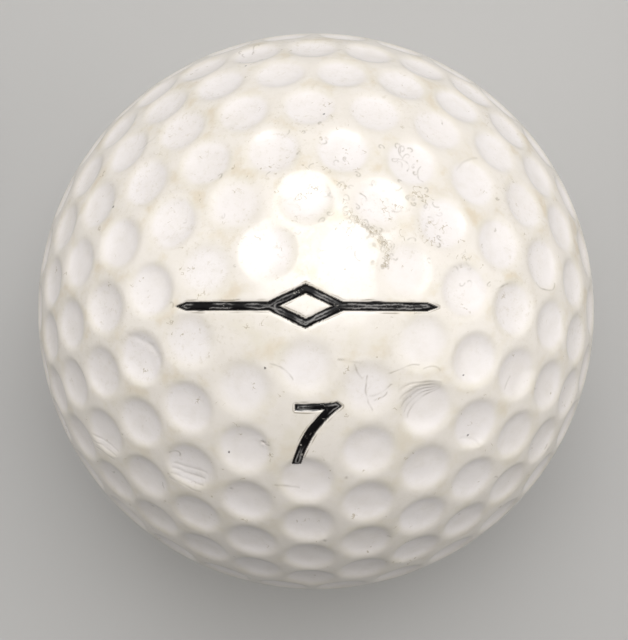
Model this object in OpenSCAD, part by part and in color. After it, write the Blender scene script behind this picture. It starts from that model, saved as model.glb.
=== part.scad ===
// Golf ball of the wound, liquid-centre kind, in millimetres.
//
// The origin is the ball's centre. +Z runs through the middle of the upper stamp, the two cover
// halves meet in the XY plane, and the play number lies on the -Y side of the upper stamp.
// From the outside in: two moulded cover halves, thin thread winding, thick base winding,
// a rubber sac made of two cups, and the liquid that fills it.

/* [Ball] */
// Outer diameter of the ball
ball_d = 42.67; // [42.67:0.01:43.2]
// Radial thickness of the moulded cover, measured on the land between dimples
cover_t = 1.5; // [1.1:0.05:2.0]

/* [Dimples] */
// Diameter of a dimple at the ball's surface
dimple_d = 3.65; // [3.2:0.05:3.75]
// Depth of a dimple below the ball's sphere
dimple_depth = 0.35; // [0.2:0.01:0.38]
// Depth of the dimples that the stamping die has flattened
stamped_depth = 0.22; // [0.15:0.01:0.29]
// Polar angle of the second row from the seam, in degrees
row_7_angle = 71.4; // [71.0:0.1:72.0]
// Polar angle of the row beside the seam, in degrees
row_8_angle = 82.6; // [82.0:0.1:83.2]

/* [Wound core] */
// Outer diameter of the liquid-filled centre
centre_d = 27.0; // [24:0.1:28.6]
// Radial thickness of the thick base winding around the centre
base_winding_t = 2.0; // [1:0.1:3]
// Wall thickness of the rubber sac
sac_wall = 1.6; // [1:0.1:2.5]

/* [Stamps] */
// How deep the hot stamp presses into the cover
stamp_depth = 0.14; // [0.10:0.01:0.20]
// Thickness of the ink that fills a stamp
ink_t = 0.10; // [0.06:0.01:0.20]
// Length of the alignment mark
mark_l = 16.4; // [10:0.1:16.4]
// Width of the alignment mark's line
mark_w = 0.5; // [0.4:0.02:0.6]
// Width of the open lozenge in the middle of the alignment mark
lozenge_w = 2.7; // [2.0:0.1:2.8]
// Height of the play number
number_h = 4.3; // [4.0:0.1:4.4]
// Width of the play number
number_w = 3.0; // [2.9:0.1:3.2]
// Width of the play number's curved stem
stem_w = 0.5; // [0.4:0.05:0.6]
// Polar angle of the middle of the play number, in degrees
number_angle = 22.6; // [22:0.1:23]

/* [Hidden] */
$fn = 96;

ball_r = ball_d / 2;
core_r = ball_r - cover_t;
base_winding_r = centre_d / 2 + base_winding_t;
centre_r = centre_d / 2;
liquid_r = centre_r - sac_wall;
stamp_floor_r = ball_r - stamp_depth;
ink_top_r = stamp_floor_r + ink_t;
mark_y = -0.2;
lozenge_l = 5.6;
tip_l = 0.7;
number_x = 0.67;
number_bar_w = 0.36;
number_bar_rise = 0.12;
number_bar_inset = 0.2;
stem_r = 7.0;
stem_centre = [5.57, -3.51];
stem_steps = 12;

// The dimples follow an icosahedron with one corner at each pole. A spherical triangle between
// three corners is divided in six. Five triangles share the pole and hold rings 1 to 6.
rings = 6;
sectors = 5;
sector_angle = 360 / sectors;
corner_angle = 2 * asin(sqrt((5 - sqrt(5)) / 10));
first_azimuth = 270;
seam_row_count = 30;
row_7_zigzag = 1.0;
row_8_zigzag = 0.3;
cutter_margin = 0.06;

function unit(v) = v / norm(v);
function direction(polar, azimuth) =
    [sin(polar) * cos(azimuth), sin(polar) * sin(azimuth), cos(polar)];
function polar_of(v) = acos(v.z);
function azimuth_of(v) = atan2(v.y, v.x);

// The point a fraction t of the way from a to b along the great circle through both
function along_arc(a, b, t) = let (gap = acos(a * b))
    gap < 0.001 ? a : (sin((1 - t) * gap) * a + sin(t * gap) * b) / sin(gap);

// The point with weights p, q and r, found from corner a by arcs to the opposite side
function from_corner(a, b, c, p, q, r) =
    q + r == 0 ? a : along_arc(along_arc(a, b, 1 - p), along_arc(a, c, 1 - p), r / (q + r));

// The same point with no corner favoured: the middle of the three constructions
function lattice_point(a, b, c, p, q, r) = unit(from_corner(a, b, c, p, q, r)
    + from_corner(b, c, a, q, r, p) + from_corner(c, a, b, r, p, q));

function corner(k) = direction(corner_angle, first_azimuth + sector_angle * k);

// Whether the stamps take the place of dimple j of ring n in sector k
function is_stamped_out(n, j, k) =
    (n == 1 && (k == 1 || k == 4)) || (n == 2 && j == 0 && k == 0);

// Rings 1 to 6 around the pole, as [direction, depth]. The pole itself has no dimple.
polar_dimples = [for (k = [0 : sectors - 1]) for (n = [1 : rings]) for (j = [0 : n - 1])
    if (!is_stamped_out(n, j, k))
        [lattice_point([0, 0, 1], corner(k), corner(k + 1), 1 - n / rings, (n - j) / rings, j / rings),
            n < 3 ? stamped_depth : dimple_depth]];

// A row of thirty beside the seam, slightly bent towards it under the icosahedron's corners
function seam_row(angle, zigzag, shift) = [for (i = [0 : seam_row_count - 1])
    let (turn = (i + shift) * 360 / seam_row_count)
    [direction(angle + zigzag * cos(sectors * turn), first_azimuth + turn), dimple_depth]];

dimples = concat(polar_dimples, seam_row(row_7_angle, row_7_zigzag, 0.5),
    seam_row(row_8_angle, row_8_zigzag, 0));

// A plug whose rounded inner end leaves a hollow of the wanted diameter and depth, centred on +X
module dimple_cutter(depth) {
    rim_x = sqrt(ball_r * ball_r - dimple_d * dimple_d / 4);
    sag = depth - (ball_r - rim_x);
    round_r = (dimple_d * dimple_d / 4 + sag * sag) / (2 * sag);
    intersection() {
        translate([ball_r - depth + round_r, 0, 0]) sphere(r = round_r);
        translate([rim_x - 2 * sag, 0, 0]) rotate([0, 90, 0])
            cylinder(r = dimple_d / 2 + cutter_margin, h = 4 * sag);
    }
}

module place_dimples() {
    for (d = dimples)
        rotate([0, polar_of(d[0]) - 90, azimuth_of(d[0])]) dimple_cutter(d[1]);
}

module upper_half_space() {
    translate([-ball_d, -ball_d, 0]) cube([2 * ball_d, 2 * ball_d, ball_d]);
}

module lower_half_space() {
    mirror([0, 0, 1]) upper_half_space();
}

module lower_side() {
    rotate([180, 0, 0]) children();
}

module lozenge(half_l, half_w) {
    polygon([[-half_l, 0], [0, half_w], [half_l, 0], [0, -half_w]]);
}

// A line with pointed ends and an open lozenge in its middle, both of the same line width
module mark_outline() {
    end_x = mark_l / 2;
    half_l = lozenge_l / 2;
    half_w = lozenge_w / 2;
    opening = 1 - mark_w * norm([half_l, half_w]) / (half_l * half_w);
    translate([0, mark_y]) difference() {
        union() {
            lozenge(half_l, half_w);
            polygon([
                [-end_x, 0], [-end_x + tip_l, mark_w / 2], [end_x - tip_l, mark_w / 2],
                [end_x, 0], [end_x - tip_l, -mark_w / 2], [-end_x + tip_l, -mark_w / 2]]);
        }
        lozenge(half_l * opening, half_w * opening);
    }
}

// Points of the number's stem at a distance r from its centre of curvature, between two heights
function stem_edge(r, y_start, y_end) = [for (i = [0 : stem_steps])
    let (y = y_start + (y_end - y_start) * i / stem_steps, rise = y - stem_centre.y)
    [stem_centre.x - sqrt(r * r - rise * rise), y]];

// A slanted 7 with a curved stem, centred on the origin
module number_outline() {
    top = number_h / 2;
    right = number_w / 2;
    bar_bottom = top - number_bar_rise - number_bar_w;
    polygon(concat(
        [[-right + number_bar_inset, bar_bottom], [-right + number_bar_inset, top - number_bar_rise],
            [right - number_bar_inset, top]],
        stem_edge(stem_r - stem_w / 2, top - 2 * number_bar_rise, -top),
        stem_edge(stem_r + stem_w / 2, -top, bar_bottom)));
}

// A tall prism over the middle of the stamp, reaching from inside the cover to outside it
module mark_prism() {
    translate([0, 0, core_r - cover_t]) linear_extrude(2 * cover_t + 1) mark_outline();
}

module number_prism() {
    rotate([number_angle, 0, 0]) translate([number_x, 0, core_r])
        linear_extrude(cover_t + 1) number_outline();
}

// The ink: what the prism keeps between the stamp's floor and the ink's own surface
module ink() {
    difference() {
        intersection() {
            children();
            sphere(r = ink_top_r);
        }
        sphere(r = stamp_floor_r);
    }
}

module recess() {
    difference() {
        children();
        sphere(r = stamp_floor_r);
    }
}

// One moulded hemisphere of the cover. Both halves are the same moulding.
module cover_half() {
    difference() {
        sphere(r = ball_r);
        sphere(r = core_r);
        lower_half_space();
        place_dimples();
        recess() mark_prism();
        recess() number_prism();
    }
}

module shell(outer_r, inner_r) {
    difference() {
        sphere(r = outer_r);
        sphere(r = inner_r);
    }
}

module sac_cup() {
    difference() {
        sphere(r = centre_r);
        sphere(r = liquid_r);
        lower_half_space();
    }
}

module cover_upper_half() {
    color([0.93, 0.91, 0.86]) cover_half();
}

module cover_lower_half() {
    color([0.91, 0.89, 0.84]) lower_side() cover_half();
}

module outer_winding() {
    color([0.85, 0.76, 0.58]) shell(core_r, base_winding_r);
}

module base_winding() {
    color([0.72, 0.60, 0.42]) shell(base_winding_r, centre_r);
}

module centre_sac_upper_cup() {
    color([0.16, 0.15, 0.15]) sac_cup();
}

module centre_sac_lower_cup() {
    color([0.20, 0.19, 0.19]) lower_side() sac_cup();
}

module centre_liquid() {
    color([0.80, 0.84, 0.80]) sphere(r = liquid_r);
}

module alignment_mark_upper() {
    color([0.06, 0.06, 0.06]) ink() mark_prism();
}

module alignment_mark_lower() {
    color([0.06, 0.06, 0.06]) lower_side() ink() mark_prism();
}

module play_number_upper() {
    color([0.06, 0.06, 0.06]) ink() number_prism();
}

module play_number_lower() {
    color([0.06, 0.06, 0.06]) lower_side() ink() number_prism();
}

cover_upper_half();
cover_lower_half();
outer_winding();
base_winding();
centre_sac_upper_cup();
centre_sac_lower_cup();
centre_liquid();
alignment_mark_upper();
alignment_mark_lower();
play_number_upper();
play_number_lower();
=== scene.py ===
"""Looks for the golf ball: an aged, dimpled cover with black stamps, and all that lies under it.

Lengths in the shape functions are millimetres in the ball's frame: origin at the ball's centre,
+Z through the upper stamp and -Y towards the play number. Meshes are written in metres.
"""

import math

import bpy
import numpy as np
from mathutils import Matrix, Vector


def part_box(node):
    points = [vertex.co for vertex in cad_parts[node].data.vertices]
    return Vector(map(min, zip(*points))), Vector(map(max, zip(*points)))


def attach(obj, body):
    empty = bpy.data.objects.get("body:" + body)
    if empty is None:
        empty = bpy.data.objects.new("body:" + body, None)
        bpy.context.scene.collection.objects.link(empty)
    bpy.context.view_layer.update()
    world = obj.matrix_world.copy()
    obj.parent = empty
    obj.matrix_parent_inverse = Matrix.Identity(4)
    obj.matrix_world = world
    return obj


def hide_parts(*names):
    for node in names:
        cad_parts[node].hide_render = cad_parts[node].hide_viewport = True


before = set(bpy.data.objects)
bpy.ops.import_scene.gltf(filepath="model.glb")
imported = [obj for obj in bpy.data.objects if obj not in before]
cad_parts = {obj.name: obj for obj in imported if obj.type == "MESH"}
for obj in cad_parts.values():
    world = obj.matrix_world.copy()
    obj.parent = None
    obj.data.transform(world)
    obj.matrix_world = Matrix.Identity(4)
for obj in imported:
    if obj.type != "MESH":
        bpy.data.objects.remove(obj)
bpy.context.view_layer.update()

MM = 0.001
BALL_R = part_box("cover_upper_half")[1].x / MM
CORE_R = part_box("outer_winding")[1].z / MM
BASE_WINDING_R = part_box("base_winding")[1].z / MM
CENTRE_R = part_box("centre_sac_upper_cup")[1].z / MM
LIQUID_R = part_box("centre_liquid")[1].z / MM
BODY = "root"
FAR = 9.0  # stands for any distance too great to matter
SAME_TURN = 1e-6  # azimuths closer than this, in radians, are the same

# Dimples, as in the CAD source
DIMPLE_R = 3.65 / 2
DIMPLE_DEPTH = 0.35
STAMPED_DEPTH = 0.22
STAMPED_RINGS = 2  # the rings that the stamping die has flattened
STAMPED_OUT = {(1, 0, 1), (1, 0, 4), (2, 0, 0)}  # ring, place and sector of dimples lost to the stamps
RINGS = 6
SECTORS = 5
CORNER_ANGLE = math.degrees(2 * math.asin(math.sqrt((5 - math.sqrt(5)) / 10)))
FIRST_AZIMUTH = 270
SEAM_ROW_COUNT = 30
SEAM_ROWS = ((71.4, 1.0, 0.5), (82.6, 0.3, 0.0))  # polar angle, zigzag and shift of each row

# Stamps, as in the CAD source
MARK_L, MARK_W, MARK_Y = 16.4, 0.5, -0.2
LOZENGE_L, LOZENGE_W = 5.6, 2.7
TIP_L = 0.7
NUMBER_H, NUMBER_W = 4.3, 3.0
NUMBER_ANGLE, NUMBER_X = 22.6, 0.67
BAR_W, BAR_RISE, BAR_INSET = 0.36, 0.12, 0.2
STEM_W, STEM_R = 0.5, 7.0
STEM_CENTRE = (5.57, -3.51)
STEM_STEPS = 12
STAMP_DEPTH = 0.14

# Cover, finer than in the CAD source
DIMPLE_FULLNESS = 1.35  # 1 is a spherical hollow, and more has steeper sides and a flatter floor
RIM_SOFTNESS = 0.08
DIMPLE_REACH = 3.0  # how far a dimple still counts, as a squared distance with its rim at 1
CROWN_RISE, CROWN_FALL = (1.0, 1.4), (1.9, 2.6)  # the land's crown, in the same measure
EDGE_WANDER = 0.025  # how far a stamp's edge strays from its outline
WALL_IN, WALL_OUT = -0.04, 0.06  # the foot and the top of a stamp's wall, from its outline
SHOULDER_W, SHOULDER_DROP = 0.26, 0.02  # the strip pressed down around a stamp
HALO_AT, HALO_WANDER, HALO_HALF_W = 0.14, 0.04, 0.03  # the line of painted shade around a stamp, at the edge of its die mark
HALO_SHADE, PIT_DIRT = 0.9, 0.4  # the darkest painted shade in that line, and the most dirt in a pit
RIDGE_AT, RIDGE_SHARE = 1.7, 0.45  # the ridge beside a scratch, from its width and depth
LIP_AT, LIP_SHARE = 1.5, 0.4  # the lip around a pit, from its radius and depth
PATCHY, RAGGED = 0.35, 0.35  # how uneven a scratch's depth is, and the edge of a pit or speck
NEAR_WEAR = 0.8  # how far from a scratch it still counts
GRIMY_LEAST, GRIMY_RISE, GRIMY_WANDER = 0.3, (-12, 3), 3  # the far side is the grimier one, along Y
SEAM_DEPTH, SEAM_HALF_W = 0.025, 0.16
SKIN_WAVES = ((0.006, 2.6, 1), (0.003, 0.9, 2))  # height, wavelength and seed of the skin's ripples

# Ink
INK_T = 0.105  # in the middle of a line
INK_EDGE = 0.012  # at its edge
INK_SUNK = 0.004  # how far the ink reaches into the recess's floor
INK_SHRINK = 0.01  # how far the ink stays inside the stamp's outline
INK_WAVES = ((0.04, 0.55, 3), (0.02, 0.2, 4))  # stray, wavelength and seed of the ink's ragged edge
INK_ROUND = 0.05  # how far in from the edge the ink swells
STREAK_AT, STREAK_WANDER, STREAK_HALF_W = 0.15, 0.07, 0.04  # the pale streak along a line: a painted sheen, and ink rubbed thin

# Layers under the cover
THREAD, TAPE = (260, 0.8, 0.12, 31), (90, 1.6, 0.15, 32)  # turns, half width, relief and seed
THREAD_ROUND = 0.4  # how far in from its edge a thread is rounded
SAC_SKIN = 0.08  # how far the sac's surface lies inside the CAD part's
BEAD_AT, BEAD_HALF_W, BEAD_H = 0.9, 0.25, 0.06  # the mould's bead beside the sac's joint
BUBBLE_R, BUBBLE_DEPTH, BUBBLE_SOFTNESS = 2.2, 0.5, 0.12

# Meshes
INNER_GRID = 46
COVER_GRID = 5 * INNER_GRID  # a whole multiple, so that the inner and outer rims share their turns
REFINEMENTS = ((0.34, 0.45), (0.17, 0.0))  # how far around detail and around the seam each reaches
STAMP_FINE_AT = 0.1  # how far outside a stamp's outline the mesh is at its finest
INK_CELL = 0.045
SNAP_ROUNDS, SNAP_STEP, SNAP_LEAST_SLOPE = 3, 0.01, 0.2  # how the ink's rim is brought to its outline
SNAP_MOST = 0.43  # the most that it moves, in cells: under half of one, so that no two points meet
WINDING_GRID = 150
SAC_GRID, SAC_INNER_GRID = 72, 36
LIQUID_GRID = 64
SHARP_ANGLE = 80  # edges sharper than this, in degrees, stay crisp


# ---------------------------------------------------------------- directions on the ball


def unit(v):
    """v, or each row of v, scaled to length 1."""
    v = np.asarray(v, float)
    return v / np.linalg.norm(v, axis=-1, keepdims=True)


def direction(polar, azimuth):
    """The unit vector at a polar angle and an azimuth in degrees."""
    p, a = math.radians(polar), math.radians(azimuth)
    return np.array([math.sin(p) * math.cos(a), math.sin(p) * math.sin(a), math.cos(p)])


def along_arc(a, b, t):
    """The point a fraction t of the way from a to b along their great circle."""
    gap = math.acos(max(-1.0, min(1.0, float(a @ b))))
    if gap < 1e-5:
        return a
    return (math.sin((1 - t) * gap) * a + math.sin(t * gap) * b) / math.sin(gap)


def from_corner(a, b, c, p, q, r):
    """The point with weights p, q and r, found by arcs from corner a to the opposite side."""
    if q + r == 0:
        return a
    return along_arc(along_arc(a, b, 1 - p), along_arc(a, c, 1 - p), r / (q + r))


def lattice_point(a, b, c, p, q, r):
    """The same point with no corner favoured."""
    starts = ((a, b, c, p, q, r), (b, c, a, q, r, p), (c, a, b, r, p, q))
    return unit(sum(from_corner(*start) for start in starts))


def dimple_list():
    """Every dimple of the upper half as (direction, depth)."""
    pole = np.array([0.0, 0.0, 1.0])
    corners = [direction(CORNER_ANGLE, FIRST_AZIMUTH + 360 / SECTORS * k) for k in range(SECTORS + 1)]
    found = []
    for k in range(SECTORS):
        for n in range(1, RINGS + 1):
            for j in range(n):
                if (n, j, k) in STAMPED_OUT:
                    continue
                weights = 1 - n / RINGS, (n - j) / RINGS, j / RINGS
                at = lattice_point(pole, corners[k], corners[k + 1], *weights)
                found.append((at, STAMPED_DEPTH if n <= STAMPED_RINGS else DIMPLE_DEPTH))
    for polar, zigzag, shift in SEAM_ROWS:
        for i in range(SEAM_ROW_COUNT):
            turn = (i + shift) * 360 / SEAM_ROW_COUNT
            bend = zigzag * math.cos(math.radians(SECTORS * turn))
            found.append((direction(polar + bend, FIRST_AZIMUTH + turn), DIMPLE_DEPTH))
    return found


DIMPLES = dimple_list()


# ---------------------------------------------------------------- outlines of the stamps


def outline_distance(points, corners):
    """Signed distance of 2D points from a closed outline, negative inside."""
    best = np.full(len(points), np.inf)
    inside = np.zeros(len(points), bool)
    for a, b in zip(corners, np.roll(corners, -1, axis=0)):
        edge, rel = b - a, points - a
        t = np.clip((rel @ edge) / (edge @ edge), 0, 1)
        best = np.minimum(best, np.linalg.norm(rel - t[:, None] * edge, axis=1))
        crosses = (a[1] > points[:, 1]) != (b[1] > points[:, 1])
        slope = edge[0] / edge[1] if edge[1] else 0.0
        inside ^= crosses & (points[:, 0] < a[0] + (points[:, 1] - a[1]) * slope)
    return np.where(inside, -best, best)


def lozenge(half_l, half_w):
    """The corners of a lozenge around the origin."""
    return np.array([(-half_l, 0), (0, half_w), (half_l, 0), (0, -half_w)])


def mark_distance(points):
    """Distance from the alignment mark, a line with pointed ends and an open lozenge in its middle."""
    end, waist = MARK_L / 2, MARK_W / 2
    half_l, half_w = LOZENGE_L / 2, LOZENGE_W / 2
    opening = 1 - MARK_W * math.hypot(half_l, half_w) / (half_l * half_w)
    right = [(end - TIP_L, waist), (end, 0), (end - TIP_L, -waist)]
    line = np.array(right + [(-x, -y) for x, y in right])
    flat = points - (0, MARK_Y)
    around = outline_distance(flat, lozenge(half_l, half_w))
    opened = outline_distance(flat, lozenge(half_l * opening, half_w * opening))
    return np.maximum(np.minimum(outline_distance(flat, line), around), -opened)


def stem_edge(r, y_start, y_end):
    """Points of the number's stem at a distance r from its centre of curvature."""
    x, y = STEM_CENTRE
    heights = np.linspace(y_start, y_end, STEM_STEPS + 1)
    return [(x - math.sqrt(r * r - (h - y) ** 2), h) for h in heights]


def number_distance(points):
    """Distance from the play number, a slanted 7 with a curved stem, around its own middle."""
    top, right = NUMBER_H / 2, NUMBER_W / 2
    bar_bottom = top - BAR_RISE - BAR_W
    left = -right + BAR_INSET
    outline = [(left, bar_bottom), (left, top - BAR_RISE), (right - BAR_INSET, top)]
    outline += stem_edge(STEM_R - STEM_W / 2, top - 2 * BAR_RISE, -top)
    outline += stem_edge(STEM_R + STEM_W / 2, -top, bar_bottom)
    return outline_distance(points, np.array(outline))


def number_plane():
    """The turn that takes the play number's own axes to the ball's."""
    return np.array(Matrix.Rotation(math.radians(NUMBER_ANGLE), 3, "X"))


def stamp_distance(dirs):
    """Signed distance in mm of each direction from the nearest stamp's outline, on the upper half."""
    near_pole = dirs[:, 2] > 0.5
    flat = dirs * BALL_R
    mark = mark_distance(flat[:, :2])
    turned = flat @ number_plane()
    number = number_distance(turned[:, :2] - (NUMBER_X, 0))
    return np.where(near_pole, np.minimum(mark, number), FAR)


# ---------------------------------------------------------------- wear


def lifted(x, y):
    """The point of the ball's sphere above (x, y)."""
    return np.array([x, y, math.sqrt(BALL_R**2 - x * x - y * y)])


def segment_distance(points, a, b):
    """Distance of 3D points from the segment a to b."""
    edge = b - a
    t = np.clip(((points - a) @ edge) / (edge @ edge), 0, 1)
    return np.linalg.norm(points - a - t[:, None] * edge, axis=1)


def path_distance(points, path):
    """Distance of 3D points from a path of segments."""
    return np.min([segment_distance(points, a, b) for a, b in zip(path, path[1:])], axis=0)


def smooth_step(low, high, x):
    """0 below low, 1 above high, smooth between."""
    t = np.clip((x - low) / (high - low), 0, 1)
    return t * t * (3 - 2 * t)


def bell(x, half_width):
    """1 at x = 0, falling smoothly to 0 on both sides."""
    return np.exp(-((x / half_width) ** 2))


# Each scratch starts at (x, y) in plan view and bends more and more towards its end:
# (x, y, heading, length, turn, width, depth). Angles are in degrees, and all else in mm.
UPPER_SCRATCHES = [
    # a fold across a dimple of the left
    (-11.5, -2.0, -20, 3.1, -65, 0.22, 0.030),
    # a short crease and a small curl between two dimples
    (-2.0, -11.5, -15, 1.5, 0, 0.06, 0.018),
    (-9.0, -9.6, 15, 0.9, -150, 0.05, 0.025),
    # hair cracks around the play number
    (-2.2, -3.7, -20, 1.8, -50, 0.045, 0.015),
    (2.0, -3.5, -5, 1.4, -10, 0.045, 0.015),
    (3.0, -3.8, -70, 1.0, 30, 0.045, 0.012),
    (3.8, -4.5, -95, 2.2, 40, 0.045, 0.018),
    (5.3, -5.0, -135, 1.6, -50, 0.050, 0.015),
    (4.3, -6.0, 15, 0.9, 50, 0.045, 0.012),
    (5.2, -4.3, 25, 1.9, -30, 0.045, 0.015),
    (7.3, -4.0, 20, 1.2, -90, 0.050, 0.020),
    # nicks
    (-2.9, -8.7, -35, 0.6, 50, 0.05, 0.030),
    (12.0, 1.0, 25, 1.0, 0, 0.05, 0.020),
    (15.0, 1.5, -35, 1.8, 120, 0.05, 0.025),
]
# Each fan is (first scratch, count, gap, spread): the next scratch starts a gap to the right of
# the one before it, its heading is turned by the spread, and it is a little finer.
UPPER_FANS = [
    ((-15.0, -8.8, -30, 2.3, 5, 0.080, 0.024), 3, 0.32, 0),
    ((-8.8, -10.4, -20, 2.3, 15, 0.080, 0.028), 4, 0.32, -3),
    ((8.4, -4.9, 175, 2.8, 50, 0.075, 0.022), 5, -0.10, 8),
]
FAN_FINER = 0.95
# Each strew of curled hairs lies along a line as a scratch does:
# (x, y, heading, length, turn, spread, count, hair length)
UPPER_HAIRS = [
    # the dense chain beside the stamp, and a loose tangle in a dimple above it
    (2.6, 5.4, -25, 4.4, -85, 0.13, 34, 0.50),
    (5.8, 9.8, -50, 1.8, 30, 0.25, 9, 1.0),
    # thinner strews around them
    (6.5, 7.0, -20, 1.4, 30, 0.45, 9, 0.6),
    (1.0, 6.8, -25, 1.2, 0, 0.60, 7, 0.6),
    (9.3, 2.9, -45, 1.6, 0, 0.60, 8, 0.6),
    (1.0, 8.0, -30, 9.0, 25, 1.60, 26, 0.5),
    (-7.0, 3.0, 50, 12.0, -50, 2.50, 18, 0.4),
    (-6.0, 18.5, -20, 2.0, 0, 0.50, 5, 0.6),
]
HAIR_WIDTH, HAIR_DEPTH = 0.04, 0.010
HAIR_SHARES, HAIR_BENDS = (0.5, 1.5), (80, 330)  # least and most of a hair's length and bend
HAIR_SEED = 19
# Each pit is (x, y, radius, depth)
UPPER_PITS = [
    (4.0, 4.4, 0.15, 0.04),
    (4.2, 3.6, 0.14, 0.04),
    (4.1, 2.5, 0.13, 0.04),
    (-2.7, -8.8, 0.14, 0.05),
    (-5.0, -12.0, 0.10, 0.02),
    (2.5, -11.0, 0.10, 0.02),
]
# Each speck of dark dirt is (x, y, radius)
UPPER_SPECKS = [
    (-4.5, 16.5, 0.09),
    (1.0, 12.5, 0.08),
    (-2.5, -4.0, 0.06),
    (-13.0, 6.5, 0.11),
    (-5.0, -9.5, 0.06),
    (10.5, -8.5, 0.08),
    (10.0, -4.5, 0.06),
]
# Each patch of grit lies along a line as a scratch does:
# (x, y, heading, length, turn, half width, strength)
UPPER_GRIT = [
    (1.8, 4.7, 45, 1.4, -45, 0.16, 0.45),
    (3.0, 5.2, -30, 3.8, -80, 0.26, 0.70),
    (2.7, 5.8, -80, 0.5, 0, 0.16, 0.40),
    (6.5, 7.0, -20, 1.4, 30, 0.60, 0.20),
    (5.5, 9.7, -50, 1.8, 30, 0.35, 0.24),
    (0.5, 7.5, -30, 9.5, 25, 2.20, 0.11),
    (-6.0, 3.5, 55, 13.0, -50, 3.50, 0.06),
]
# Scratches are roughened: moved this far by noise of this wavelength, seeded for each axis
WOBBLE, WOBBLE_LENGTH, WOBBLE_SEEDS = 0.06, 0.9, (17, 18, 19)
CURL_STEPS = 10
BOW_POINTS = 9
BOW_BEND = 0.4  # the most that a scattered scratch bows, from its half length
# Scattered wear, as the least and most of each measure: half length, width and depth of the short
# ticks and the longer lines, and radius and depth of the pits
TICK_SIZES = ((0.07, 0.22), (0.04, 0.055), (0.012, 0.025))
LINE_SIZES = ((0.3, 1.1), (0.07, 0.10), (0.012, 0.025))
PIT_SIZES = ((0.06, 0.13), (0.015, 0.035))
LOWER_SPECK_SHARE = 0.8  # the radius of the lower half's specks, from the pits that place them
LOWER_GRIT = (0.14, 3.0)  # strength and half width
# Ripples: count of waves, least and most share of the wavelength, and gain
RIPPLE_WAVES, RIPPLE_SPREAD, RIPPLE_GAIN = 9, (0.7, 1.5), 1.6


def curl(x, y, heading, length, turn):
    """A line on the upper half that starts at (x, y) in plan view and bends towards its end."""
    share = (np.arange(CURL_STEPS) + 0.5) / CURL_STEPS
    bearing = np.radians(heading + turn * share**2)
    moves = np.column_stack([np.cos(bearing), np.sin(bearing)]) * length / CURL_STEPS
    plan = np.vstack([(x, y), (x, y) + np.cumsum(moves, axis=0)])
    return np.array([lifted(*point) for point in plan])


def fan(first, count, gap, spread):
    """Scratches laid out from the first one, each a gap to the right of the one before it."""
    x, y, heading, length, turn, width, depth = first
    side = math.radians(heading - 90)
    found = []
    for k in range(count):
        start = x + gap * k * math.cos(side), y + gap * k * math.sin(side)
        size = width * FAN_FINER**k, depth * FAN_FINER**k
        found.append((*start, heading + spread * k, length, turn, *size))
    return found


def hairs(rng, x, y, heading, length, turn, spread, count, hair_length):
    """Small curled scratches strewn at random along a line, as (width, depth, path)."""
    route = curl(x, y, heading, length, turn)
    found = []
    for _ in range(count):
        start = route[rng.integers(len(route)), :2] + rng.normal(0, spread, 2)
        size = hair_length * rng.uniform(*HAIR_SHARES)
        bend = rng.uniform(*HAIR_BENDS) * rng.choice((-1, 1))
        found.append((HAIR_WIDTH, HAIR_DEPTH, curl(*start, rng.uniform(0, 360), size, bend)))
    return found


def bow(at, along, half_length, bend):
    """A shallow bow on the ball's sphere, around the point at."""
    side = unit(np.cross(at, along))
    s = np.linspace(-1, 1, BOW_POINTS)[:, None]
    return unit(at + along * half_length * s + side * bend * (1 - s * s)) * BALL_R


def scattered_wear(seed, polar_low, polar_high, tick_count=0, line_count=0, pit_count=0):
    """Seeded light wear between two polar angles, as (lines, pits), with points in 3D."""
    rng = np.random.default_rng(seed)

    def place():
        cosine = rng.uniform(math.cos(math.radians(polar_high)), math.cos(math.radians(polar_low)))
        return direction(math.degrees(math.acos(cosine)), rng.uniform(0, 360)) * BALL_R

    def line(half_length, width, depth):
        at = place()
        along = unit(np.cross(at, rng.normal(size=3)))
        return width, depth, bow(at, along, half_length, rng.uniform(-BOW_BEND, BOW_BEND) * half_length)

    def drawn(sizes):
        return [rng.uniform(*size) for size in sizes]

    lines = [line(*drawn(TICK_SIZES)) for _ in range(tick_count)]
    lines += [line(*drawn(LINE_SIZES)) for _ in range(line_count)]
    pits = [(place(), *drawn(PIT_SIZES)) for _ in range(pit_count)]
    return lines, pits


def upper_wear():
    """The wear of the upper half: the marks on its face, and light scatter further down."""
    lines, pits = scattered_wear(7, 40, 87, tick_count=30, line_count=12, pit_count=10)
    scratches = UPPER_SCRATCHES + [scratch for group in UPPER_FANS for scratch in fan(*group)]
    lines += [(width, depth, curl(*route)) for *route, width, depth in scratches]
    rng = np.random.default_rng(HAIR_SEED)
    for strew in UPPER_HAIRS:
        lines += hairs(rng, *strew)
    pits += [(lifted(x, y), radius, depth) for x, y, radius, depth in UPPER_PITS]
    specks = [(lifted(x, y), radius) for x, y, radius in UPPER_SPECKS]
    grit = [(strength, half_width, curl(*route)) for *route, half_width, strength in UPPER_GRIT]
    return lines, pits, specks, grit


def lower_wear():
    """The wear of the lower half: light scatter, a few specks and some faint patches of grit."""
    lines, pits = scattered_wear(11, 6, 87, tick_count=50, line_count=30, pit_count=20)
    _, spots = scattered_wear(12, 10, 85, pit_count=9)
    specks = [(at, radius * LOWER_SPECK_SHARE) for at, radius, _ in spots]
    streaks, _ = scattered_wear(13, 0, 60, line_count=4)
    grit = [(*LOWER_GRIT, path) for _, _, path in streaks]
    return lines, pits, specks, grit


def line_distances(points, lines):
    """For each scratch, (width, depth, the points near it, their distances from it)."""
    for width, depth, path in lines:
        middle = path.mean(axis=0)
        reach = np.linalg.norm(path - middle, axis=1).max() + NEAR_WEAR
        near = np.where(((points - middle) ** 2).sum(axis=1) < reach**2)[0]
        yield width, depth, near, path_distance(points[near], path)


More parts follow.
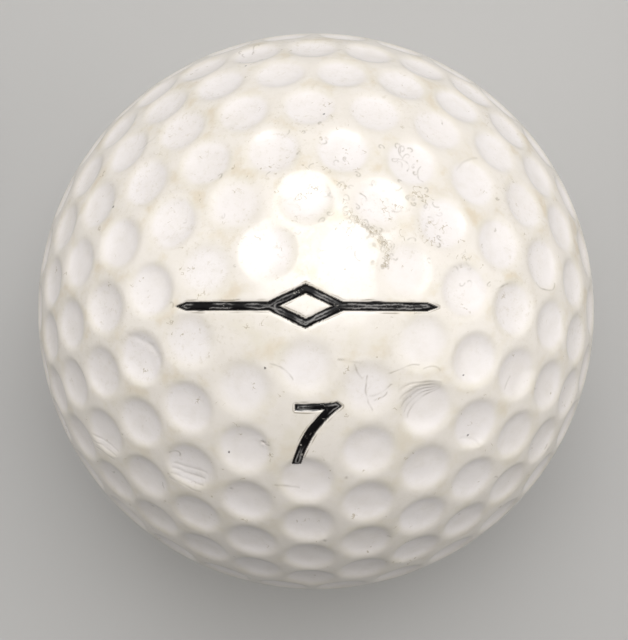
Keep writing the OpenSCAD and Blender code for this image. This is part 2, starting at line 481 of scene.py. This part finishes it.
def ripple(points, wavelength, seed):
    """Smooth seeded noise from -1 to 1, as a sum of plane waves."""
    rng = np.random.default_rng(seed)
    total = np.zeros(len(points))
    for _ in range(RIPPLE_WAVES):
        heading = unit(rng.normal(size=points.shape[1]))
        axis = heading * 2 * math.pi / (wavelength * rng.uniform(*RIPPLE_SPREAD))
        total += np.sin(points @ axis + rng.uniform(0, 2 * math.pi))
    return total / RIPPLE_WAVES * RIPPLE_GAIN


# ---------------------------------------------------------------- the cover's surface


def soft_above(x, softness):
    """The greater of x and 0, rounded where they meet."""
    blend = (x + softness) ** 2 / (4 * softness)
    return np.where(x < -softness, 0, np.where(x > softness, x, blend))


def near_spot(points, centre, radius, ragged):
    """The points around a spot, and their distances from it with a ragged edge."""
    away = np.linalg.norm(points - centre, axis=1)
    near = np.where(away < 4 * radius)[0]
    return near, away[near] * ragged[near]


def dimpled(dirs):
    """The dimples alone: height at each direction, how deep in a dimple it is, and the land's crown."""
    height = np.zeros(len(dirs))
    hollow = np.zeros(len(dirs))
    nearest = np.full(len(dirs), DIMPLE_REACH)
    for centre, depth in DIMPLES:
        share = 2 * (1 - dirs @ centre) * (BALL_R / DIMPLE_R) ** 2
        near = share < DIMPLE_REACH
        nearest[near] = np.minimum(nearest[near], share[near])
        drop = soft_above(depth * (1 - share[near] ** DIMPLE_FULLNESS), RIM_SOFTNESS)
        height[near] -= drop
        hollow[near] = np.maximum(hollow[near], drop / DIMPLE_DEPTH)
    crown = smooth_step(*CROWN_RISE, nearest) * (1 - smooth_step(*CROWN_FALL, nearest))
    return height, np.clip(hollow, 0, 1), crown


def dirt_held(width):
    """How much dirt a scratch holds: a hair-thin one the most, and a wide one none."""
    return np.clip(1.3 - 14 * width, 0.0, 0.75)


def cover_surface(dirs, wear):
    """Height in mm above the ball's sphere for each direction, with masks for the material."""
    lines, pits, specks, grit = wear
    at = dirs * BALL_R
    height, hollow, crown = dimpled(dirs)

    stamp = stamp_distance(dirs) + EDGE_WANDER * ripple(at, 1.3, seed=9)
    recess = 1 - smooth_step(WALL_IN, WALL_OUT, stamp)
    shoulder = 1 - smooth_step(0.0, SHOULDER_W, stamp)
    height -= recess * np.maximum(0, STAMP_DEPTH + height) + (1 - recess) * shoulder * SHOULDER_DROP
    # Painted shade: a thin dark line just outside each stamp, standing for the shade at the edge of its
    # die mark
    edge_shade = bell(stamp - HALO_AT - HALO_WANDER * ripple(at, 1.6, seed=13), HALO_HALF_W)
    scuff_and_shade = edge_shade * smooth_step(-0.2, 0.5, ripple(at, 1.5, seed=10)) * HALO_SHADE

    patchy = (1 - PATCHY) + PATCHY * ripple(at, 0.9, seed=14)
    wobble = np.column_stack([ripple(at, WOBBLE_LENGTH, seed) for seed in WOBBLE_SEEDS])
    for width, depth, near, gap in line_distances(at + WOBBLE * wobble, lines):
        groove = bell(gap, width) * patchy[near]
        ridge = bell(gap - RIDGE_AT * width, width) * patchy[near]
        height[near] -= depth * (groove - RIDGE_SHARE * ridge)
        scuff_and_shade[near] = np.maximum(scuff_and_shade[near], groove * dirt_held(width))

    ragged = 1 + RAGGED * ripple(at, 0.3, seed=5)
    for centre, radius, depth in pits:
        near, gap = near_spot(at, centre, radius, ragged)
        dent = bell(gap, radius)
        lip = bell(gap - LIP_AT * radius, radius)
        height[near] -= depth * (dent - LIP_SHARE * lip)
        scuff_and_shade[near] = np.maximum(scuff_and_shade[near], dent * PIT_DIRT)

    dirt = smooth_step(0.03, 0.25, recess)
    for centre, radius in specks:
        near, gap = near_spot(at, centre, radius, ragged)
        dirt[near] = np.maximum(dirt[near], 1 - smooth_step(0.5 * radius, 1.1 * radius, gap))
    gritty = np.zeros(len(dirs))
    for strength, half_width, path in grit:
        gritty = np.maximum(gritty, strength * bell(path_distance(at, path), half_width))

    polar = np.degrees(np.arccos(np.clip(dirs[:, 2], -1, 1)))
    from_seam = np.radians(90 - polar) * BALL_R
    height -= SEAM_DEPTH * bell(from_seam, SEAM_HALF_W)
    height += sum(size * ripple(at, wavelength, seed) for size, wavelength, seed in SKIN_WAVES)
    across = at[:, 1] + GRIMY_WANDER * ripple(at, 12, seed=22)
    grimy = GRIMY_LEAST + (1 - GRIMY_LEAST) * smooth_step(*GRIMY_RISE, across)
    masks = {
        "hollow": hollow,
        "crown": crown,
        "scuff_and_shade": scuff_and_shade,
        "dirt": dirt,
        "grit": gritty,
        "grimy": grimy,
    }
    return height, masks


def detail_distance(dirs, wear):
    """Distance in mm from the nearest fine detail: a stamp's edge, a scratch or a pit."""
    lines, pits, specks, _ = wear
    at = dirs * BALL_R
    best = np.abs(stamp_distance(dirs) - STAMP_FINE_AT)
    for _, _, near, gap in line_distances(at, lines):
        best[near] = np.minimum(best[near], gap)
    for centre, radius, *_ in pits + specks:
        best = np.minimum(best, np.maximum(0, np.linalg.norm(at - centre, axis=1) - radius))
    return best


# ---------------------------------------------------------------- grids


def on_rim(uv):
    """Whether each point of the square -1..1 is on its edge."""
    return np.max(np.abs(uv), axis=1) > 1 - 1e-9


def square_to_dome(uv):
    """Points of the square -1..1 as directions over a hemisphere, all cells of equal area."""
    a, b = uv[:, 0], uv[:, 1]
    wide = np.abs(a) > np.abs(b)
    long = np.where(wide, a, b)
    safe = np.where(long == 0, 1, long)
    turn = np.where(wide, math.pi / 4 * b / safe, math.pi / 2 - math.pi / 4 * a / safe)
    x, y = long * np.cos(turn), long * np.sin(turn)
    rho = np.minimum(x * x + y * y, 1)
    spread = np.sqrt(2 - rho)
    dirs = np.column_stack([x * spread, y * spread, 1 - rho])
    dirs[on_rim(uv), 2] = 0
    return unit(dirs)


def cell_corners(index):
    """The four corners of each cell in a grid of point numbers, in order around it."""
    around = [index[:-1, :-1], index[:-1, 1:], index[1:, 1:], index[1:, :-1]]
    return np.stack(around, axis=-1).reshape(-1, 4)


def square_grid(cells):
    """A square of cells by cells quads over -1..1, as (points, quads)."""
    steps = np.linspace(-1, 1, cells + 1)
    u, v = np.meshgrid(steps, steps)
    index = np.arange((cells + 1) ** 2).reshape(cells + 1, cells + 1)
    return np.column_stack([u.ravel(), v.ravel()]), [tuple(q) for q in cell_corners(index).tolist()]


def refined(uv, faces, chosen):
    """Splits each chosen quad in four. Its neighbours take on the new edge points, so no gap opens."""
    points = uv.tolist()
    middles = {}

    def middle(a, b):
        key = (a, b) if a < b else (b, a)
        if key not in middles:
            middles[key] = len(points)
            points.append([(points[a][0] + points[b][0]) / 2, (points[a][1] + points[b][1]) / 2])
        return middles[key]

    split = []
    kept = []
    for face, pick in zip(faces, chosen):
        if not pick or len(face) != 4:
            kept.append(face)
            continue
        a, b, c, d = face
        ab, bc, cd, da = middle(a, b), middle(b, c), middle(c, d), middle(d, a)
        centre = len(points)
        points.append([sum(points[i][axis] for i in face) / 4 for axis in (0, 1)])
        split += [(a, ab, centre, da), (ab, b, bc, centre), (centre, bc, c, cd), (da, centre, cd, d)]
    joined = []
    for face in kept:
        loop = []
        for a, b in zip(face, face[1:] + face[:1]):
            loop.append(a)
            extra = middles.get((a, b) if a < b else (b, a))
            if extra is not None:
                loop.append(extra)
        joined.append(tuple(loop))
    return np.array(points), split + joined


def face_middles(points, faces):
    """The mean corner of each face, from its first four corners."""
    corners = np.array([face[:4] for face in faces])
    return points[corners].mean(axis=1)


def rim_order(dirs, uv):
    """The points on a dome's rim, in order of azimuth, as (indices, azimuths)."""
    rim = np.where(on_rim(uv))[0]
    azimuth = np.arctan2(dirs[rim, 1], dirs[rim, 0]) % (2 * math.pi)
    azimuth[azimuth > 2 * math.pi - SAME_TURN] = 0
    order = np.argsort(azimuth)
    return rim[order], azimuth[order]


def seam_faces(outer_rim, inner_rim):
    """Flat faces that join a dome's outer rim to its coarser inner rim."""
    outer, outer_turn = outer_rim
    inner, inner_turn = inner_rim
    faces = []
    for i, start in enumerate(inner_turn):
        end = inner_turn[i + 1] if i + 1 < len(inner) else inner_turn[0] + 2 * math.pi
        run = [int(v) for v, t in zip(outer, outer_turn) if start - SAME_TURN <= t <= end + SAME_TURN]
        if i + 1 == len(inner):
            run.append(int(outer[0]))
        faces.append((int(inner[i]), int(inner[(i + 1) % len(inner)]), *run[::-1]))
    return faces


def dome_shell(uv, faces, outer_dirs, outer_radii, inner_radius, inner_cells=INNER_GRID):
    """A closed half shell as (points in mm, faces, count of outer faces)."""
    inner_uv, inner_quads = square_grid(inner_cells)
    inner_dirs = square_to_dome(inner_uv)
    shift = len(outer_dirs)
    points = np.vstack([outer_dirs * outer_radii[:, None], inner_dirs * inner_radius])
    inner_faces = [tuple(v + shift for v in q[::-1]) for q in inner_quads]
    inner_rim, inner_turn = rim_order(inner_dirs, inner_uv)
    joint = seam_faces(rim_order(outer_dirs, uv), (inner_rim + shift, inner_turn))
    return points, faces + inner_faces + joint, len(faces)


def ball_grid(cells):
    """A whole sphere of quads, as (directions, faces)."""
    uv, quads = square_grid(cells)
    top = square_to_dome(uv)
    rim = on_rim(uv)
    below = np.where(rim, np.arange(len(uv)), 0)
    below[~rim] = len(uv) + np.arange((~rim).sum())
    dirs = np.vstack([top, top[~rim] * (1, 1, -1)])
    return dirs, quads + [tuple(int(below[v]) for v in q[::-1]) for q in quads]


# ---------------------------------------------------------------- meshes


def make_piece(name, points, faces, material, replaced, masks=None):
    """A mesh piece from points in mm, riding on the ball and standing for CAD nodes."""
    mesh = bpy.data.meshes.new(name)
    mesh.from_pydata((np.asarray(points) * MM).tolist(), [], faces)
    mesh.update()
    for mask, values in (masks or {}).items():
        layer = mesh.attributes.new(mask, "FLOAT", "POINT")
        full = np.zeros(len(points), np.float32)
        full[: len(values)] = values
        layer.data.foreach_set("value", full)
    mesh.shade_smooth()
    mesh.set_sharp_from_angle(angle=math.radians(SHARP_ANGLE))
    piece = bpy.data.objects.new(name, mesh)
    bpy.context.scene.collection.objects.link(piece)
    mesh.materials.append(material)
    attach(piece, BODY)
    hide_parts(*replaced)
    return piece


def turned_over(points):
    """Points of the upper half turned half a turn about X, onto the lower half."""
    return np.asarray(points) * (1, -1, -1)


def cover_half(name, node, wear, lower, enamel, moulding):
    """One half of the cover, with a fine mesh around its stamps, scratches, pits and seam."""
    uv, faces = square_grid(COVER_GRID)
    for reach, seam_reach in REFINEMENTS:
        middles = square_to_dome(face_middles(uv, faces))
        near_seam = middles[:, 2] * BALL_R < seam_reach
        chosen = (detail_distance(middles, wear) < reach) | near_seam
        uv, faces = refined(uv, faces, chosen)
    dirs = square_to_dome(uv)
    height, masks = cover_surface(dirs, wear)
    points, faces, outer_count = dome_shell(uv, faces, dirs, BALL_R + height, CORE_R)
    if lower:
        points = turned_over(points)
    piece = make_piece(name, points, faces, enamel, [node], masks)
    piece.data.materials.append(moulding)
    index = np.ones(len(faces), np.int32)
    index[:outer_count] = 0
    piece.data.polygons.foreach_set("material_index", index)


def without_pinches(inside):
    """The grid of chosen cells, filled in wherever two of them touch only at a corner."""
    inside = inside.copy()
    while True:
        here, right, above, across = inside[:-1, :-1], inside[:-1, 1:], inside[1:, :-1], inside[1:, 1:]
        pinch = (here == across) & (right == above) & (here != right)
        if not pinch.any():
            return inside
        for part in (here, right, above, across):
            part |= pinch


def snapped_patch(distance, low, high):
    """A flat quad patch that fills the region where distance is negative, its rim on the outline."""
    nx, ny = np.ceil((high - low) / INK_CELL).astype(int)
    x, y = np.meshgrid(np.linspace(low[0], high[0], nx + 1), np.linspace(low[1], high[1], ny + 1))
    points = np.column_stack([x.ravel(), y.ravel()])
    quads = cell_corners(np.arange(len(points)).reshape(ny + 1, nx + 1))
    filled = distance(points[quads].mean(axis=1)) < 0
    inside = without_pinches(filled.reshape(ny, nx)).ravel()
    outer = np.zeros(len(points), bool)
    outer[np.unique(quads[~inside])] = True
    used = np.unique(quads[inside])
    rim = used[outer[used]]
    grid_places = points[rim]
    steps = np.eye(2) * SNAP_STEP
    for _ in range(SNAP_ROUNDS):
        here = distance(points[rim])
        rises = [distance(points[rim] + step) - distance(points[rim] - step) for step in steps]
        slope = np.column_stack(rises) / (2 * SNAP_STEP)
        steep = np.maximum((slope**2).sum(axis=1), SNAP_LEAST_SLOPE)
        points[rim] -= (here / steep)[:, None] * slope
    most = SNAP_MOST * INK_CELL
    points[rim] = grid_places + np.clip(points[rim] - grid_places, -most, most)
    renumber = np.zeros(len(points), int)
    renumber[used] = np.arange(len(used))
    return points[used], [tuple(quad) for quad in renumber[quads[inside]].tolist()], outer[used]


def boundary_edges(faces):
    """The directed edges that only one face has."""
    edges = [edge for face in faces for edge in zip(face, face[1:] + face[:1])]
    known = set(edges)
    return [(a, b) for a, b in edges if (b, a) not in known]


def ink_piece(name, node, outline, reach, turn, offset, lower, material):
    """The ink in one stamp: a thin film with a rounded, slightly ragged edge."""

    def distance(flat):
        strays = [stray * ripple(flat, wavelength, seed) for stray, wavelength, seed in INK_WAVES]
        return sum(strays, outline(flat) + INK_SHRINK)

    margin = 3 * INK_CELL
    flat, quads, rim = snapped_patch(distance, -reach - margin, reach + margin)
    plan = flat + offset
    dirs = np.column_stack([plan, np.sqrt(BALL_R**2 - (plan**2).sum(axis=1))]) / BALL_R @ turn.T
    depth_in = np.maximum(0, -distance(flat))
    swell = INK_T * (1 - np.exp(-depth_in / INK_ROUND)) * (1 + 0.12 * ripple(flat, 0.7, seed=8))
    floor = BALL_R - STAMP_DEPTH - INK_SUNK
    height = np.where(rim, INK_EDGE, np.maximum(swell, INK_EDGE))
    count = len(flat)
    points = np.vstack([dirs * (floor + height)[:, None], dirs * floor])
    faces = quads + [tuple(v + count for v in quad[::-1]) for quad in quads]
    faces += [(b, a, a + count, b + count) for a, b in boundary_edges(quads)]
    # Painted sheen: a pale streak along the middle of each line, also standing for ink rubbed thin
    sheen_streak = bell(depth_in - STREAK_AT - STREAK_WANDER * ripple(flat, 1.5, seed=15), STREAK_HALF_W)
    sheen_streak *= smooth_step(-0.4, 0.2, ripple(flat, 2.2, seed=16))
    if lower:
        points = turned_over(points)
    make_piece(name, points, faces, material, [node], {"sheen_streak": sheen_streak})


def wound_layer(name, node, outer_r, inner_r, turns, half_width, relief, seed, material, slot):
    """A layer of rubber thread: great-circle turns laid over each other, the last one on top."""
    rng = np.random.default_rng(seed)
    dirs, faces = ball_grid(WINDING_GRID)
    height = np.full(len(dirs), -relief)
    tone = np.zeros(len(dirs))
    for axis in unit(rng.normal(size=(turns, 3))):
        level, shade = rng.uniform(0, 1, 2)
        gap = np.abs(np.arcsin(np.clip(dirs @ axis, -1, 1))) * outer_r
        over = gap < half_width
        edge = smooth_step(0, THREAD_ROUND, half_width - gap[over])
        height[over] = -relief * (0.6 * level + 0.4 * (1 - edge))
        tone[over] = shade
    inner_dirs, inner_faces = ball_grid(INNER_GRID)
    points = np.vstack([dirs * (outer_r + height)[:, None], inner_dirs * inner_r])
    faces += [tuple(v + len(dirs) for v in face[::-1]) for face in inner_faces]
    make_piece(name, points, faces, material, [node], {"tone": tone})


def sac_cup(name, node, lower, material):
    """Half of the rubber sac, with the raised bead left by its mould beside the joint."""
    uv, faces = square_grid(SAC_GRID)
    dirs = square_to_dome(uv)
    at = dirs * CENTRE_R
    bead = bell(at[:, 2] - BEAD_AT, BEAD_HALF_W)
    height = -SAC_SKIN + BEAD_H * bead + 0.012 * ripple(at, 1.4, seed=21)
    points, faces, _ = dome_shell(uv, faces, dirs, CENTRE_R + height, LIQUID_R, SAC_INNER_GRID)
    if lower:
        points = turned_over(points)
    make_piece(name, points, faces, material, [node])


def liquid_fill(material):
    """The liquid, with the small flat bubble left at its top."""
    dirs, faces = ball_grid(LIQUID_GRID)
    at = dirs * LIQUID_R
    from_top = np.hypot(at[:, 0], at[:, 1])
    pressed = soft_above(BUBBLE_DEPTH * (1 - (from_top / BUBBLE_R) ** 2), BUBBLE_SOFTNESS)
    bubble = np.where(dirs[:, 2] > 0, pressed, 0)
    points = dirs * (LIQUID_R - bubble)[:, None]
    make_piece("liquid_fill", points, faces, material, ["centre_liquid"])


# ---------------------------------------------------------------- materials

# Enamel, from the dimples' white to the dirt in its recesses, and the painted shade around its stamps
HOLLOW_WHITES = (0.845, 0.805, 0.79), (0.825, 0.78, 0.75)
LAND_CREAM = (0.80, 0.752, 0.690)
YELLOWED = (0.73, 0.68, 0.56)
STAINED = (0.66, 0.55, 0.40)
MOTTLED = (0.66, 0.61, 0.53)
SPECKLED = (0.56, 0.50, 0.39)
HAIR_DIRT = (0.40, 0.33, 0.22)
CRUST = (0.30, 0.25, 0.15)
# Brown of the dirt in scratches and pits, also used for the painted shade line around the stamps
SCUFF_DIRT_AND_SHADE = (0.22, 0.18, 0.12)
CAKED_DIRT = (0.03, 0.027, 0.024)
# Ink, a pale painted sheen along its lines that is also its rubbed ink, and the enamel that shows
# through where it is worn
INK_BLACKS = (0.003, 0.003, 0.004), (0.008, 0.007, 0.007)
INK_SHEEN_AND_RUB = (0.30, 0.29, 0.28)
INK_WORN = (0.40, 0.38, 0.34)
# What lies under the enamel
MOULDING_WHITES = (0.78, 0.75, 0.68), (0.70, 0.66, 0.57)
THREAD_TANS = (0.60, 0.47, 0.28), (0.80, 0.69, 0.47)
TAPE_TANS = (0.40, 0.29, 0.17), (0.56, 0.43, 0.27)
SAC_BLACK, SAC_TALC = (0.022, 0.021, 0.020), (0.30, 0.29, 0.28)
PASTE_CREAMS = (0.72, 0.69, 0.60), (0.60, 0.56, 0.46)
FLOOR_GREYS = (0.43, 0.425, 0.415), (0.46, 0.455, 0.445)


class Nodes:
    """A short way to build a material's node tree."""

    def __init__(self, name):
        self.material = bpy.data.materials.new(name)
        self.material.use_nodes = True
        self.tree = self.material.node_tree
        self.shader = self.tree.nodes["Principled BSDF"]
        self.place = self.add("ShaderNodeTexCoord").outputs["Object"]

    def add(self, kind, **settings):
        node = self.tree.nodes.new(kind)
        for key, value in settings.items():
            setattr(node, key, value)
        return node

    def feed(self, socket, value):
        if isinstance(value, bpy.types.NodeSocket):
            self.tree.links.new(value, socket)
        else:
            socket.default_value = value

    def noise(self, per_mm, detail=4.0, roughness=0.55):
        """Noise with about per_mm features in each millimetre."""
        node = self.add("ShaderNodeTexNoise")
        self.feed(node.inputs["Vector"], self.place)
        node.inputs["Scale"].default_value = per_mm / MM
        node.inputs["Detail"].default_value = detail
        node.inputs["Roughness"].default_value = roughness
        return node.outputs["Fac"]

    def mask(self, name):
        return self.add("ShaderNodeAttribute", attribute_name=name).outputs["Fac"]

    def remap(self, value, low, high, to_low=0.0, to_high=1.0):
        node = self.add("ShaderNodeMapRange", interpolation_type="SMOOTHSTEP")
        for key, v in zip(("Value", "From Min", "From Max", "To Min", "To Max"),
                          (value, low, high, to_low, to_high)):
            self.feed(node.inputs[key], v)
        return node.outputs["Result"]

    def maths(self, operation, a, b=0.0):
        node = self.add("ShaderNodeMath", operation=operation)
        self.feed(node.inputs[0], a)
        self.feed(node.inputs[1], b)
        return node.outputs[0]

    def mix(self, share, a, b):
        node = self.add("ShaderNodeMix", data_type="RGBA")
        self.feed(node.inputs["Factor"], share)
        for socket, colour in ((node.inputs[6], a), (node.inputs[7], b)):
            self.feed(socket, (*colour, 1) if isinstance(colour, tuple) else colour)
        return node.outputs[2]

    def bump(self, height, distance, before=None):
        node = self.add("ShaderNodeBump")
        node.inputs["Distance"].default_value = distance * MM
        self.feed(node.inputs["Height"], height)
        if before is not None:
            self.feed(node.inputs["Normal"], before)
        return node.outputs["Normal"]

    def finish(self, colour, roughness, normal=None, **fixed):
        self.feed(self.shader.inputs["Base Color"], colour)
        self.feed(self.shader.inputs["Roughness"], roughness)
        if normal is not None:
            self.feed(self.shader.inputs["Normal"], normal)
        for key, value in fixed.items():
            self.shader.inputs[key.replace("_", " ")].default_value = value
        return self.material


def enamel_material():
    """Aged white enamel under clear coat: whiter in the dimples, creamier and grimier on the land."""
    n = Nodes("aged_enamel")
    hollow, crown, grimy, grit = (n.mask(name) for name in ("hollow", "crown", "grimy", "grit"))
    colour = n.mix(n.remap(n.noise(0.12, 5.0, 0.6), 0.35, 0.7), *HOLLOW_WHITES)

    land = n.remap(hollow, 0.0, 0.6, 1.0, 0.0)
    colour = n.mix(land, colour, LAND_CREAM)
    clouds = n.noise(0.45, 5.0, 0.6)
    yellowed = n.maths("MULTIPLY", land, n.remap(clouds, 0.42, 0.72, 0.0, 0.6))
    colour = n.mix(yellowed, colour, YELLOWED)

    settled = n.maths("MULTIPLY", crown, n.remap(clouds, 0.48, 0.72, 0.0, 0.6))
    colour = n.mix(n.maths("MULTIPLY", settled, grimy), colour, STAINED)
    mottled = n.remap(n.noise(0.8, 6.0, 0.7), 0.40, 0.75, 0.0, 0.28)
    colour = n.mix(mottled, colour, MOTTLED)
    speckle = n.remap(n.noise(3.0, 6.0, 0.75), 0.52, 0.70, 0.0, 0.5)
    fine = n.maths("MULTIPLY", speckle, n.remap(n.noise(0.16, 3.0), 0.40, 0.6, 0.1, 1.0))
    colour = n.mix(n.maths("MULTIPLY", fine, grimy), colour, SPECKLED)

    contour = n.maths("ABSOLUTE", n.maths("SUBTRACT", n.noise(2.0, 2.0, 0.5), 0.5))
    crowd = n.maths("ADD", n.noise(1.1, 2.0), grit)
    hairline = n.remap(contour, 0.008, 0.03, 0.65, 0.0)
    colour = n.mix(n.maths("MULTIPLY", hairline, n.remap(crowd, 0.66, 0.72)), colour, HAIR_DIRT)
    ladder = n.remap(n.maths("PINGPONG", n.noise(2.6, 1.0), 0.04), 0.0, 0.014, 0.75, 0.0)
    colour = n.mix(n.maths("MULTIPLY", ladder, n.remap(grit, 0.30, 0.44)), colour, CRUST)
    # Dirt in scratches and pits, and the painted shade line around the stamps
    colour = n.mix(n.mask("scuff_and_shade"), colour, SCUFF_DIRT_AND_SHADE)
    colour = n.mix(n.mask("dirt"), colour, CAKED_DIRT)

    dull = n.remap(n.noise(0.5, 5.0), 0.3, 0.8, 0.34, 0.50)
    waves = n.bump(n.noise(1.1, 3.0), 0.010)
    normal = n.bump(n.noise(6.0, 2.0), 0.0015, waves)
    return n.finish(colour, dull, normal, Coat_Weight=0.45, Coat_Roughness=0.13)


def moulding_material():
    """The cover's bare inside, an off-white moulded compound."""
    n = Nodes("bare_moulding")
    colour = n.mix(n.remap(n.noise(0.4), 0.35, 0.7), *MOULDING_WHITES)
    return n.finish(colour, 0.55, n.bump(n.noise(1.5), 0.02))


def ink_material():
    """Black stamping ink with a pale painted sheen along its lines, rubbed thin in places so that the
    enamel shows through.
    """
    n = Nodes("worn_ink")
    colour = n.mix(n.noise(1.2), *INK_BLACKS)
    patches = n.remap(n.noise(3.0, 4.0, 0.7), 0.35, 0.5, 0.2, 0.9)
    # A pale painted sheen streaked along the lines, patchy like rubbed ink
    colour = n.mix(n.maths("MULTIPLY", n.mask("sheen_streak"), patches), colour, INK_SHEEN_AND_RUB)
    worn = n.remap(n.noise(2.2, 6.0, 0.75), 0.60, 0.66, 0.0, 0.8)
    colour = n.mix(worn, colour, INK_WORN)
    dull = n.remap(n.noise(2.0), 0.3, 0.7, 0.3, 0.5)
    return n.finish(colour, dull, n.bump(n.noise(4.0), 0.008), Specular_IOR_Level=0.1)


def thread_material(name, dark, pale):
    """Stretched rubber thread, each turn a little lighter or darker than the next."""
    n = Nodes(name)
    colour = n.mix(n.mask("tone"), dark, pale)
    grubby = tuple(c * 0.7 for c in dark)
    colour = n.mix(n.remap(n.noise(1.2, 4.0), 0.5, 0.8, 0.0, 0.35), colour, grubby)
    return n.finish(colour, n.remap(n.noise(0.8), 0.3, 0.7, 0.5, 0.7), n.bump(n.noise(3.0), 0.02))


def sac_material():
    """Black moulded rubber with a bloom of talc."""
    n = Nodes("sac_rubber")
    talc = n.remap(n.noise(0.45, 6.0, 0.65), 0.48, 0.75, 0.0, 0.35)
    colour = n.mix(talc, SAC_BLACK, SAC_TALC)
    return n.finish(colour, n.remap(n.noise(0.9), 0.3, 0.7, 0.45, 0.7), n.bump(n.noise(2.0), 0.02))


def liquid_material():
    """A thick pale paste with cloudy streaks."""
    n = Nodes("centre_paste")
    colour = n.mix(n.remap(n.noise(0.15, 5.0), 0.35, 0.65), *PASTE_CREAMS)
    return n.finish(colour, n.remap(n.noise(0.5), 0.3, 0.7, 0.12, 0.25))


def floor_material():
    """A plain pale matt floor."""
    n = Nodes("pale_floor")
    return n.finish(n.mix(n.noise(0.02, 3.0), *FLOOR_GREYS), 0.75)


# ---------------------------------------------------------------- stage

CAMERA_DISTANCE = 94.0  # from the ball's centre, in mm
CAMERA_POLAR, CAMERA_AZIMUTH = 2.1, -31.0  # the camera's place around the ball, in degrees
CAMERA_ROLL = 0.2
CAMERA_LENS, CAMERA_SENSOR = 67.1, 36
CAMERA_CLIP = 5.0
AIM_RIGHT, AIM_UP = -0.15, -0.65  # where the camera looks, from the ball's centre, in mm
FLOOR_HALF = 8000  # half the floor's side, in mm
LIGHT_DISTANCE, LIGHT_SIZE = 0.5, 0.4  # in metres
FILL_COLOUR = (1.0, 0.975, 0.93)
LIGHTS = (  # name, polar angle, azimuth, power in watts, colour
    ("key", 20, 77, 2.72, (1.0, 0.997, 1.0)),
    ("left_fill", 60, 168, 0.66, FILL_COLOUR),
    ("right_fill", 60, 0, 0.8, FILL_COLOUR),
)
WORLD_COLOUR, WORLD_STRENGTH = (1.0, 0.97, 0.92), 0.05


def add_camera():
    """A camera almost straight above the upper stamp, as close as the photographer held it."""
    back = Vector(direction(CAMERA_POLAR, CAMERA_AZIMUTH))
    level = Vector(direction(90, CAMERA_ROLL))
    right = (level - level.dot(back) * back).normalized()
    up = back.cross(right)
    data = bpy.data.cameras.new("camera")
    data.sensor_width = CAMERA_SENSOR
    data.lens = CAMERA_LENS
    data.clip_start = CAMERA_CLIP * MM
    camera = bpy.data.objects.new("camera", data)
    place = Matrix((right, up, back)).transposed().to_4x4()
    place.translation = (back * CAMERA_DISTANCE + right * AIM_RIGHT + up * AIM_UP) * MM
    camera.matrix_world = place
    bpy.context.scene.collection.objects.link(camera)
    bpy.context.scene.camera = camera


def add_floor():
    """A wide pale floor that the ball rests on."""
    mesh = bpy.data.meshes.new("floor")
    turns = ((-1, -1), (1, -1), (1, 1), (-1, 1))
    corners = [(x * FLOOR_HALF * MM, y * FLOOR_HALF * MM, -BALL_R * MM) for x, y in turns]
    mesh.from_pydata(corners, [], [(0, 1, 2, 3)])
    mesh.materials.append(floor_material())
    floor = bpy.data.objects.new("floor", mesh)
    bpy.context.scene.collection.objects.link(floor)


def add_light(name, polar, azimuth, power, colour):
    """A square soft box that faces the ball from a polar angle and an azimuth in degrees."""
    data = bpy.data.lights.new(name, "AREA")
    data.shape = "SQUARE"
    data.size = LIGHT_SIZE
    data.energy = power
    data.color = colour
    light = bpy.data.objects.new(name, data)
    towards = Vector(direction(polar, azimuth))
    light.location = towards * LIGHT_DISTANCE
    light.visible_camera = False
    light.rotation_euler = (-towards).to_track_quat("-Z", "Y").to_euler()
    bpy.context.scene.collection.objects.link(light)


def add_world():
    """A dim warm surround that fills the shadows a little."""
    world = bpy.data.worlds.new("studio")
    world.use_nodes = True
    background = world.node_tree.nodes["Background"]
    background.inputs["Color"].default_value = (*WORLD_COLOUR, 1)
    background.inputs["Strength"].default_value = WORLD_STRENGTH
    bpy.context.scene.world = world


def add_ball():
    """Every piece of the ball, from the cover to the liquid."""
    enamel = enamel_material()
    moulding = moulding_material()
    ink = ink_material()
    rubber = sac_material()
    mark_reach = np.array([MARK_L, LOZENGE_W]) / 2 - (0, MARK_Y)
    number_reach = np.array([NUMBER_W, NUMBER_H]) / 2
    cover_half("cover_upper_shell", "cover_upper_half", upper_wear(), False, enamel, moulding)
    cover_half("cover_lower_shell", "cover_lower_half", lower_wear(), True, enamel, moulding)
    for side, lower in (("upper", False), ("lower", True)):
        ink_piece(f"alignment_ink_{side}", f"alignment_mark_{side}", mark_distance, mark_reach,
                  np.eye(3), (0, 0), lower, ink)
        ink_piece(f"number_ink_{side}", f"play_number_{side}", number_distance, number_reach,
                  number_plane(), (NUMBER_X, 0), lower, ink)
        sac_cup(f"sac_cup_{side}", f"centre_sac_{side}_cup", lower, rubber)
    wound_layer("thread_winding", "outer_winding", CORE_R, BASE_WINDING_R, *THREAD,
                thread_material("pale_thread", *THREAD_TANS), "thread")
    wound_layer("tape_winding", "base_winding", BASE_WINDING_R, CENTRE_R, *TAPE,
                thread_material("tan_tape", *TAPE_TANS), "base_thread")
    liquid_fill(liquid_material())


add_camera()
add_floor()
add_world()
for light in LIGHTS:
    add_light(*light)
bpy.context.scene.view_settings.view_transform = "Standard"
add_ball()
